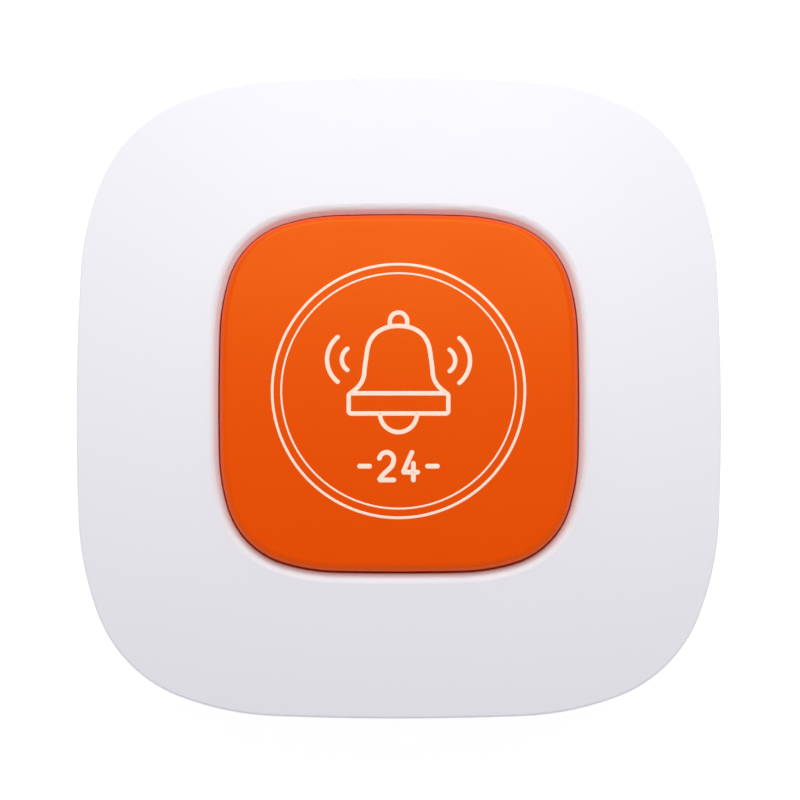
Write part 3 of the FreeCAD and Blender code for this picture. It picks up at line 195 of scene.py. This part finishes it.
def add_piece(name, mesh, body, material):
    """Puts a mesh into the scene as a piece of a body, with a material."""
    mesh.materials.clear()
    mesh.materials.append(material)
    piece = bpy.data.objects.new(name, mesh)
    bpy.context.scene.collection.objects.link(piece)
    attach(piece, body)
    return piece


def make_button_piece(name, points, faces, material):
    """A smooth piece of the button from its points and faces."""
    mesh = bpy.data.meshes.new(name)
    mesh.from_pydata(points.tolist(), [], faces)
    mesh.validate()
    mesh.polygons.foreach_set("use_smooth", np.ones(len(mesh.polygons), bool))
    add_piece(name, mesh, "button", material)


# ------------------------------------------------------------------ new pieces
def points_of_cap():
    """The corners of the cap's triangles, as rows of x, y and z."""
    mesh = frame["nodes"]["button_cap"].data
    points = np.zeros(len(mesh.vertices) * 3)
    mesh.vertices.foreach_get("co", points)
    return points.reshape(-1, 3)


def crown_of_cap(points):
    """(height of the apex, radius) of the sphere that the cap's top follows, read from its mesh:
    the apex is its highest point, and the radius comes from the drop of points well inside."""
    apex = points[:, 2].max()
    reach = np.hypot(points[:, 0], points[:, 1])
    top = (reach > CROWN_BAND[0]) & (reach < CROWN_BAND[1]) & (points[:, 2] > apex - CROWN_FALL)
    drop = apex - points[top, 2]
    radius = np.median((reach[top] ** 2 + drop**2) / (2 * drop))
    return apex, radius


CAP_POINTS = points_of_cap()
APEX, CROWN = crown_of_cap(CAP_POINTS)


def cap_height(x, y):
    """Height of the cap's top: the apex less the drop of a sphere at that distance."""
    return APEX - CROWN + np.sqrt(CROWN**2 - x**2 - y**2)


def ink_stroke(points, width, closed=False):
    """A raised line of ink laid over the cap. Along the line it follows the points, and runs half
    a width past its ends; across, it is a closed flat section whose top swells as (1 - s^6) over
    s from -1 to 1; at its ends it goes round, as the root of 1 - u^2 over the last half width.
    Returns its points, its faces and the number of points in a section."""
    if not closed:
        first, last = points[0] - points[1], points[-1] - points[-2]
        first, last = (way / np.linalg.norm(way) * width / 2 for way in (first, last))
        points = np.concatenate([[points[0] + first], points, [points[-1] + last]])
    path, at, length = evenly(points, closed)
    left = to_the_left(path, closed)
    half = np.full(len(path), width / 2)
    if not closed:
        inward = np.minimum(at, length - at) / (width / 2)
        half *= np.sqrt(1 - (1 - np.clip(inward, STROKE_TIP, 1)) ** 2)
    turn = np.linspace(0, 2 * np.pi, SECTION_POINTS, endpoint=False)
    across = np.cos(turn)
    rise = np.where(np.sin(turn) >= 0, INK * (1 - across**6), -INK_SUNK)
    flat = path[:, None, :] + left[:, None, :] * (half[:, None] * across[None, :])[:, :, None]
    height = cap_height(flat[..., 0], flat[..., 1]) + rise[None, :]
    points = np.concatenate([flat, height[..., None]], axis=2)
    rows, columns = points.shape[:2]
    return points.reshape(-1, 3), tube_faces(rows, columns, closed), columns


def print_on_cap(name, strokes, material):
    """One piece from several strokes, each (points, width, closed) in the print's own plane."""
    points, faces = [], []
    start = 0
    for line, width, closed in strokes:
        line = np.array(line) * PRINT_SIZE + np.array(PRINT_SHIFT)
        found, quads, columns = ink_stroke(line, width, closed)
        points.append(found)
        faces += (quads + start).tolist()
        if not closed:
            first = np.arange(columns) + start
            last = first + len(found) - columns
            faces += [first.tolist(), last[::-1].tolist()]
        start += len(found)
    make_button_piece(name, np.concatenate(points), faces, material)


def make_bead(material):
    """A thin bead round the cap's skirt that closes most of the gap. Its path is the cap's outline
    from above: in each direction, the farthest of the cap's points. Its section is a superellipse
    of power 4, from the root in the skirt to the proud side, and its top keeps level below the
    cap's crown."""
    turn = np.linspace(0, 2 * np.pi, BEAD_HEADINGS, endpoint=False)
    ways = np.stack([np.cos(turn), np.sin(turn)])
    farthest = np.argmax(CAP_POINTS[:, :2] @ ways, axis=0)
    path, _, _ = evenly(joined(CAP_POINTS[farthest, :2])[:-1], True, BEAD_STEP)
    around = np.linspace(0, 2 * np.pi, SECTION_POINTS, endpoint=False)
    section = np.stack([np.cos(around), np.sin(around)])
    section = np.sign(section) * np.sqrt(np.abs(section))
    outward = (BEAD_PROUD - BEAD_ROOT) / 2 + (BEAD_PROUD + BEAD_ROOT) / 2 * section[0]
    rise = -BEAD_DROP - BEAD_DEPTH / 2 + BEAD_DEPTH / 2 * section[1]
    flat = path[:, None, :] - to_the_left(path, True)[:, None, :] * outward[None, :, None]
    height = cap_height(flat[..., 0], flat[..., 1]) + rise[None, :]
    points = np.concatenate([flat, height[..., None]], axis=2).reshape(-1, 3)
    faces = tube_faces(len(path), len(around), True)[:, ::-1]
    make_button_piece("cap_bead", points, faces.tolist(), material)


def make_giving_piece(name, node):
    """A copy of a soft or sprung node that stands for it, with its points joined. Its corners keep
    the node's normals."""
    mesh = frame["nodes"][node].data.copy()
    mesh.name = name
    facing = np.empty(3 * len(mesh.loops), np.float32)
    mesh.corner_normals.foreach_get("vector", facing)
    mesh.attributes.new("facing", "FLOAT_VECTOR", "CORNER").data.foreach_set("vector", facing)
    form = bmesh.new()
    form.from_mesh(mesh)
    bmesh.ops.remove_doubles(form, verts=form.verts, dist=SAME_POINT)
    form.to_mesh(mesh)
    form.free()
    facing = np.empty(3 * len(mesh.loops), np.float32)
    mesh.attributes["facing"].data.foreach_get("vector", facing)
    mesh.attributes.remove(mesh.attributes["facing"])
    mesh.normals_split_custom_set(facing.reshape(-1, 3))
    piece = add_piece(name, mesh, "housing", MATERIALS[SLOT_OF[node]])
    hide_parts(node)
    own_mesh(piece)


def bell_strokes():
    """A table bell in outline, with its loop, band, clapper and two waves of sound a side. The
    numbers are millimetres from the middle of the rings, and degrees for the waves' spread."""
    half = np.concatenate([
        bezier([(0, 6.52), (1.62, 6.52), (2.93, 5.75), (3.16, 3.98)]),
        bezier([(3.16, 3.98), (3.27, 3.25), (3.36, 2.70), (3.43, 1.94)]),
        bezier([(3.43, 1.94), (3.47, 1.02), (3.90, 0.42), (4.72, -0.16)]),
    ])
    dome = joined(half[::-1] * [-1, 1], half) * MM
    loop_radius, loop_middle = 0.87, 7.0
    loop = joined(
        [(-loop_radius, 6.62)], arc((0, loop_middle), loop_radius, 180, 0), [(loop_radius, 6.62)]
    ) * MM
    reach, top, bottom, corner = 5.0, -0.25, -2.27, 0.25
    far, high, low = reach - corner, top - corner, bottom + corner
    corners = ((far, high), (-far, high), (-far, low), (far, low))
    turns = [arc(place, corner, 90 * k, 90 * (k + 1), 12) for k, place in enumerate(corners)]
    band = joined(*turns) * MM
    clapper = arc((0, bottom), 1.86, 180, 360) * MM
    strokes = [(line, STROKE, line is band) for line in (dome, loop, band, clapper)]
    for side, level in ((-1, 3.16), (1, 3.05)):
        for middle, radius, spread in ((4.29, 2.90, 51), (4.39, 1.31, 55)):
            heading = 180 if side < 0 else 0
            wave = arc((side * middle, level), radius, heading - spread, heading + spread) * MM
            strokes.append((wave, STROKE, False))
    return [(line - [0, BELL_DROP], width, closed) for line, width, closed in strokes]


def digit_two(width, height):
    """A 2: an arch, a slope down to the foot, and the foot."""
    arch = arc((0, height / 2 - width / 2), width / 2, 170, -25)
    left_foot, right_foot = (-width / 2, -height / 2), (width / 2, -height / 2)
    bends = (width * 0.42, -height * 0.08), (-width * 0.2, -height * 0.2)
    slope = bezier([arch[-1], *bends, left_foot])
    return [joined(arch, slope, [right_foot])]


def digit_four(width, height):
    """A 4: a slope, a bar and a stem."""
    knee = -height * 0.22
    slope = [(width * 0.10, height / 2), (-width / 2, knee), (width / 2, knee)]
    stem = [(width * 0.20, height * 0.10), (width * 0.20, -height / 2)]
    return [joined(slope), joined(stem)]


def number_strokes():
    """The table's number between two dashes."""
    shapes = {"2": digit_two, "4": digit_four}
    pitch = DIGIT_WIDTH + DIGIT_GAP
    strokes = []
    for k, digit in enumerate(DIGITS):
        place = np.array([(k - (len(DIGITS) - 1) / 2) * pitch, NUMBER_MIDDLE])
        for line in shapes[digit](DIGIT_WIDTH, DIGIT_HEIGHT):
            strokes.append((line + place, NUMBER_STROKE, False))
    for side in (-1, 1):
        dash = np.array([(side * along, NUMBER_MIDDLE) for along in DASH])
        strokes.append((dash, NUMBER_STROKE, False))
    return strokes


# ------------------------------------------------------------------ effects shared by materials
def new_group(name, inputs, outputs):
    """An empty shader node group with value inputs {name: default} and outputs {name: type}."""
    group = bpy.data.node_groups.new(name, "ShaderNodeTree")
    for label, value in inputs.items():
        socket = group.interface.new_socket(label, in_out="INPUT", socket_type="NodeSocketFloat")
        socket.default_value = value
    for label, kind in outputs.items():
        group.interface.new_socket(label, in_out="OUTPUT", socket_type=kind)
    tools = group.nodes
    return group, tools.new("NodeGroupInput"), tools.new("NodeGroupOutput")


def feed(tree, socket, value):
    """Gives a socket a number, a colour or what another socket puts out."""
    if isinstance(value, bpy.types.NodeSocket):
        tree.links.new(value, socket)
    elif isinstance(value, tuple):
        socket.default_value = (*value, 1.0)
    else:
        socket.default_value = value


def math_node(tree, operation, *values, clamp=False):
    """What an operation makes of some values, each a number or a socket."""
    node = tree.nodes.new("ShaderNodeMath")
    node.operation = operation
    node.use_clamp = clamp
    for socket, value in zip(node.inputs, values):
        feed(tree, socket, value)
    return node.outputs[0]


def noise_node(tree, scale, detail, roughness=0.5):
    """Noise over a piece's own coordinates, from 0 to 1."""
    place = tree.nodes.new("ShaderNodeTexCoord")
    node = tree.nodes.new("ShaderNodeTexNoise")
    tree.links.new(place.outputs["Object"], node.inputs["Vector"])
    for label, value in (("Scale", scale), ("Detail", detail), ("Roughness", roughness)):
        feed(tree, node.inputs[label], value)
    return node.outputs["Fac"]


def make_mould_grain():
    """Fine spark-eroded grain of a mould, with slow drifts of gloss. Height is a fine noise,
    Gloss a coarse noise about 0."""
    group, given, result = new_group(
        "mould_grain", {"Grain": GRAIN_SCALE, "Drift": DRIFT_SCALE},
        {"Height": "NodeSocketFloat", "Gloss": "NodeSocketFloat"}
    )
    height = noise_node(group, given.outputs["Grain"], detail=3.0, roughness=0.6)
    coarse = noise_node(group, given.outputs["Drift"], detail=4.0)
    drift = math_node(group, "SUBTRACT", coarse, 0.5)
    group.links.new(height, result.inputs["Height"])
    group.links.new(drift, result.inputs["Gloss"])
    return group


def make_dust():
    """Scattered specks: the small round hearts of random cells, of which most are left out."""
    group, given, result = new_group(
        "dust_specks", {"Cells": SPECK_CELLS, "Size": SPECK_SIZE, "Share": SPECK_SHARE},
        {"Mask": "NodeSocketFloat"}
    )
    place = group.nodes.new("ShaderNodeTexCoord")
    cells = group.nodes.new("ShaderNodeTexVoronoi")
    group.links.new(place.outputs["Object"], cells.inputs["Vector"])
    group.links.new(given.outputs["Cells"], cells.inputs["Scale"])
    chosen = group.nodes.new("ShaderNodeSeparateColor")
    group.links.new(cells.outputs["Color"], chosen.inputs[0])
    heart = math_node(group, "LESS_THAN", cells.outputs["Distance"], given.outputs["Size"])
    kept = math_node(group, "LESS_THAN", chosen.outputs[0], given.outputs["Share"])
    group.links.new(math_node(group, "MULTIPLY", heart, kept), result.inputs["Mask"])
    return group


MOULD_GRAIN = make_mould_grain()
DUST = make_dust()


def place_group(tree, group, **values):
    """A shared effect in a material's tree, some of whose inputs get the material's own values."""
    node = tree.nodes.new("ShaderNodeGroup")
    node.node_tree = group
    for label, value in values.items():
        node.inputs[label].default_value = value
    return node


def mixed(tree, amount, first, second):
    """A colour between two, by an amount from 0 to 1. Each is a colour or a socket. Inputs 6 and 7
    and output 2 of the node are those for colours."""
    node = tree.nodes.new("ShaderNodeMix")
    node.data_type = "RGBA"
    for place, value in ((0, amount), (6, first), (7, second)):
        feed(tree, node.inputs[place], value)
    return node.outputs[2]


def new_material(name, **sockets):
    """A material with a Principled shader, some of whose sockets get a plain value."""
    material = bpy.data.materials.new(name)
    material.use_nodes = True
    tree = material.node_tree
    shader = next(node for node in tree.nodes if node.type == "BSDF_PRINCIPLED")
    for label, value in sockets.items():
        shader.inputs[label.replace("_", " ")].default_value = value
    return material, tree, shader


def add_bump(tree, shader, height, depth):
    """Bumps a shader's surface by a height from 0 to 1, which is as deep as depth."""
    bump = tree.nodes.new("ShaderNodeBump")
    bump.inputs["Strength"].default_value = 1.0
    bump.inputs["Distance"].default_value = depth
    tree.links.new(height, bump.inputs["Height"])
    tree.links.new(bump.outputs["Normal"], shader.inputs["Normal"])


def moulded_plastic(name, colour, shade, roughness, grain_depth, grain_scale=GRAIN_SCALE,
                    speck_share=SPECK_SHARE, dust=PALE_DUST, **sockets):
    """Moulded plastic or rubber: a colour that drifts a little towards a shade, mould grain in
    the bump and the gloss, and a few specks of dust."""
    material, tree, shader = new_material(name, **sockets)
    grain = place_group(tree, MOULD_GRAIN, Grain=grain_scale)
    drift = math_node(tree, "MULTIPLY_ADD", grain.outputs["Gloss"], COLOUR_DRIFT, 0.5, clamp=True)
    specks = place_group(tree, DUST, Share=speck_share)
    base = mixed(tree, drift, colour, shade)
    faint = math_node(tree, "MULTIPLY", specks.outputs["Mask"], SPECK_COVER)
    tree.links.new(mixed(tree, faint, base, dust), shader.inputs["Base Color"])
    rough = math_node(tree, "MULTIPLY_ADD", grain.outputs["Gloss"], GLOSS_DRIFT, roughness)
    rougher = math_node(tree, "MULTIPLY", specks.outputs["Mask"], SPECK_ROUGHNESS)
    tree.links.new(math_node(tree, "ADD", rough, rougher), shader.inputs["Roughness"])
    add_bump(tree, shader, grain.outputs["Height"], grain_depth)
    return material


def metal(name, colour, shade, roughness, grain):
    """Sheet or drawn metal: two tones in a fine noise, which also varies its gloss."""
    material, tree, shader = new_material(name, Metallic=1.0)
    streaks = noise_node(tree, grain, detail=4.0, roughness=0.7)
    tree.links.new(mixed(tree, streaks, colour, shade), shader.inputs["Base Color"])
    rough = math_node(tree, "MULTIPLY_ADD", streaks, STREAK_ROUGHNESS, roughness)
    tree.links.new(rough, shader.inputs["Roughness"])
    add_bump(tree, shader, streaks, STREAK_DEPTH)
    return material


def make_materials():
    """One material for each of the record's slots, by its name. The shade is the colour that each
    drifts towards, and a grain depth is that of its bump."""
    return {
        "cover_plastic": moulded_plastic(
            "satin_white_moulding", colour=(0.848, 0.839, 0.888), shade=(0.838, 0.829, 0.878),
            roughness=0.36, grain_depth=0.004 * MM, Specular_IOR_Level=0.25),
        "base_plastic": moulded_plastic(
            "grained_white_moulding", colour=(0.82, 0.813, 0.855), shade=(0.80, 0.793, 0.835),
            roughness=0.5, grain_depth=0.012 * MM, grain_scale=6000.0),
        "button_plastic": moulded_plastic(
            "satin_orange_moulding", colour=(0.814, 0.0675, 0.0), shade=(0.784, 0.0615, 0.0),
            roughness=0.30, grain_depth=0.003 * MM, dust=(0.95, 0.4, 0.2),
            Specular_IOR_Level=0.45, Specular_Tint=(1.0, 0.74, 0.12, 1)),
        "silicone": moulded_plastic(
            "pale_silicone", colour=(0.72, 0.72, 0.71), shade=(0.66, 0.66, 0.66),
            roughness=0.55, grain_depth=0.006 * MM, grain_scale=4000.0, speck_share=0.10),
        "board_laminate": moulded_plastic(
            "green_board", colour=(0.02, 0.17, 0.06), shade=(0.03, 0.22, 0.08),
            roughness=0.35, grain_depth=0.004 * MM, grain_scale=12000.0, speck_share=0.03),
        "black_moulding": moulded_plastic(
            "black_moulding", colour=(0.025, 0.025, 0.027), shade=(0.04, 0.04, 0.04),
            roughness=0.5, grain_depth=0.006 * MM, grain_scale=7000.0, speck_share=0.03),
        "ceramic": moulded_plastic(
            "tan_ceramic", colour=(0.42, 0.30, 0.18), shade=(0.36, 0.26, 0.16),
            roughness=0.6, grain_depth=0.004 * MM, grain_scale=14000.0, speck_share=0.03),
        "seal_rubber": moulded_plastic(
            "dark_rubber", colour=(0.055, 0.055, 0.06), shade=(0.075, 0.075, 0.08),
            roughness=0.7, grain_depth=0.015 * MM, grain_scale=3500.0, speck_share=0.12,
            dust=(0.3, 0.3, 0.29)),
        "sheet_steel": metal(
            "tinned_steel", colour=(0.72, 0.72, 0.70), shade=(0.6, 0.6, 0.6),
            roughness=0.28, grain=1500.0),
        "contact_bronze": metal(
            "spring_bronze", colour=(0.80, 0.58, 0.34), shade=(0.65, 0.45, 0.25),
            roughness=0.25, grain=1200.0),
        "cell_steel": metal(
            "can_steel", colour=(0.78, 0.78, 0.77), shade=(0.68, 0.68, 0.68),
            roughness=0.22, grain=700.0),
        "screw_steel": metal(
            "zinc_steel", colour=(0.62, 0.62, 0.62), shade=(0.5, 0.5, 0.52),
            roughness=0.3, grain=1500.0),
    }


def make_ink():
    """Screen ink: warm white, a little worn in patches where the plastic shows through."""
    material, tree, shader = new_material("screen_ink")
    wear = noise_node(tree, INK_WEAR, detail=3.0)
    patchy = math_node(tree, "MULTIPLY_ADD", wear, WEAR_GAIN, WEAR_OFFSET, clamp=True)
    tree.links.new(mixed(tree, patchy, INK_COLOUR, WORN_INK), shader.inputs["Base Color"])
    rough = math_node(tree, "MULTIPLY_ADD", wear, WEAR_ROUGHNESS, INK_ROUGHNESS)
    tree.links.new(rough, shader.inputs["Roughness"])
    return material


# ------------------------------------------------------------------ stage
def seen_as_background(tree):
    """1 for the rays that show the background: the camera's, and those that metal mirrors or
    glass lets through."""
    rays = tree.nodes.new("ShaderNodeLightPath")
    seen = math_node(tree, "MAXIMUM", rays.outputs["Is Camera Ray"], rays.outputs["Is Glossy Ray"])
    return math_node(tree, "MAXIMUM", seen, rays.outputs["Is Transmission Ray"])


def mixed_shaders(tree, share, first, second):
    """The second shader by a share from 0 to 1, and the first for the rest."""
    node = tree.nodes.new("ShaderNodeMixShader")
    for place, value in enumerate((share, first, second)):
        feed(tree, node.inputs[place], value)
    return node.outputs[0]


def make_floor():
    """A wide pale table. As background it is white, less the object's shadow."""
    mesh = bpy.data.meshes.new("floor")
    ways = ((-1, -1), (1, -1), (1, 1), (-1, 1))
    corners = [(x * TABLE_REACH, y * TABLE_REACH, 0) for x, y in ways]
    mesh.from_pydata(corners, [], [(0, 1, 2, 3)])
    floor = bpy.data.objects.new("floor", mesh)
    bpy.context.scene.collection.objects.link(floor)
    material = bpy.data.materials.new("pale_table")
    material.use_nodes = True
    tree = material.node_tree
    tree.nodes.clear()
    diffuse = tree.nodes.new("ShaderNodeBsdfDiffuse")
    diffuse.inputs["Color"].default_value = (*TABLE_COLOUR, 1)
    white = tree.nodes.new("ShaderNodeEmission")
    white.inputs["Color"].default_value = (1, 1, 1, 1)
    white.inputs["Strength"].default_value = TABLE_WHITE
    shadowed = mixed_shaders(tree, TABLE_WHITE_SHARE, diffuse.outputs[0], white.outputs[0])
    shown = mixed_shaders(tree, seen_as_background(tree), diffuse.outputs[0], shadowed)
    output = tree.nodes.new("ShaderNodeOutputMaterial")
    tree.links.new(shown, output.inputs["Surface"])
    mesh.materials.append(material)


def make_world():
    """An even room that lights the object, dim overhead and brighter towards the horizon by the
    square of the sine of the angle from the zenith. As background it is white."""
    world = bpy.data.worlds.new("studio")
    bpy.context.scene.world = world
    world.use_nodes = True
    tree = world.node_tree
    tree.nodes.clear()
    room = tree.nodes.new("ShaderNodeBackground")
    room.inputs["Color"].default_value = (*ROOM_COLOUR, 1)
    heading = tree.nodes.new("ShaderNodeTexCoord")
    split = tree.nodes.new("ShaderNodeSeparateXYZ")
    tree.links.new(heading.outputs["Generated"], split.inputs[0])
    upward = math_node(tree, "MAXIMUM", split.outputs["Z"], 0.0)
    dimming = math_node(tree, "MULTIPLY", math_node(tree, "POWER", upward, 2.0), HORIZON - ZENITH)
    tree.links.new(math_node(tree, "SUBTRACT", HORIZON, dimming), room.inputs["Strength"])
    white = tree.nodes.new("ShaderNodeBackground")
    white.inputs["Color"].default_value = (1, 1, 1, 1)
    shown = mixed_shaders(tree, seen_as_background(tree), room.outputs[0], white.outputs[0])
    output = tree.nodes.new("ShaderNodeOutputWorld")
    tree.links.new(shown, output.inputs["Surface"])


def add_softbox():
    """A square area light behind and above the object, which it faces."""
    light = bpy.data.lights.new("back_softbox", "AREA")
    light.shape = "SQUARE"
    light.size = SOFTBOX_SIZE
    light.energy = SOFTBOX_POWER
    light.color = SOFTBOX_COLOUR
    lamp = bpy.data.objects.new("back_softbox", light)
    bpy.context.scene.collection.objects.link(lamp)
    lamp.location = SOFTBOX_PLACE
    lamp.rotation_euler = (-Vector(SOFTBOX_PLACE)).to_track_quat("-Z", "Y").to_euler()


def set_camera():
    """Looks down from a little towards -Y, so that the middle of the case, at the height where it
    is widest, falls on its pixel."""
    data = bpy.data.cameras.new("camera")
    camera = bpy.data.objects.new("camera", data)
    bpy.context.scene.collection.objects.link(camera)
    data.sensor_width = SENSOR
    field = PICTURE / PIXELS_PER_MM * MM
    data.lens = SENSOR * DISTANCE / field
    toward = Vector((0, -math.cos(ELEVATION), math.sin(ELEVATION)))
    turn = toward.to_track_quat("Z", "Y")
    right, up = turn @ Vector((1, 0, 0)), turn @ Vector((0, 1, 0))
    across = (PICTURE / 2 - CASE_IN_PICTURE[0]) / PIXELS_PER_MM * MM
    above = (CASE_IN_PICTURE[1] - PICTURE / 2) / PIXELS_PER_MM * MM
    aim = Vector((0, 0, WIDEST)) + right * across + up * above
    camera.location = aim + toward * DISTANCE
    camera.rotation_mode = "QUATERNION"
    camera.rotation_quaternion = turn
    bpy.context.scene.camera = camera


# ------------------------------------------------------------------ making
set_camera()
make_world()
make_floor()
add_softbox()
bpy.context.scene.view_settings.view_transform = "Standard"

MATERIALS = make_materials()
for node, slot in SLOT_OF.items():
    finishes = frame["nodes"][node].data.materials
    finishes.clear()
    finishes.append(MATERIALS[slot])

ink = make_ink()
rings = [
    (arc((0, 0), radius, 0, 360, RING_POINTS + 1)[:-1], stroke, True) for radius, stroke in RINGS
]
print_on_cap("print_rings", rings, ink)
print_on_cap("print_bell", bell_strokes(), ink)
print_on_cap("print_number", number_strokes(), ink)
make_bead(MATERIALS["button_plastic"])
for name, (node, joint, share) in GIVING.items():
    make_giving_piece(name, node)
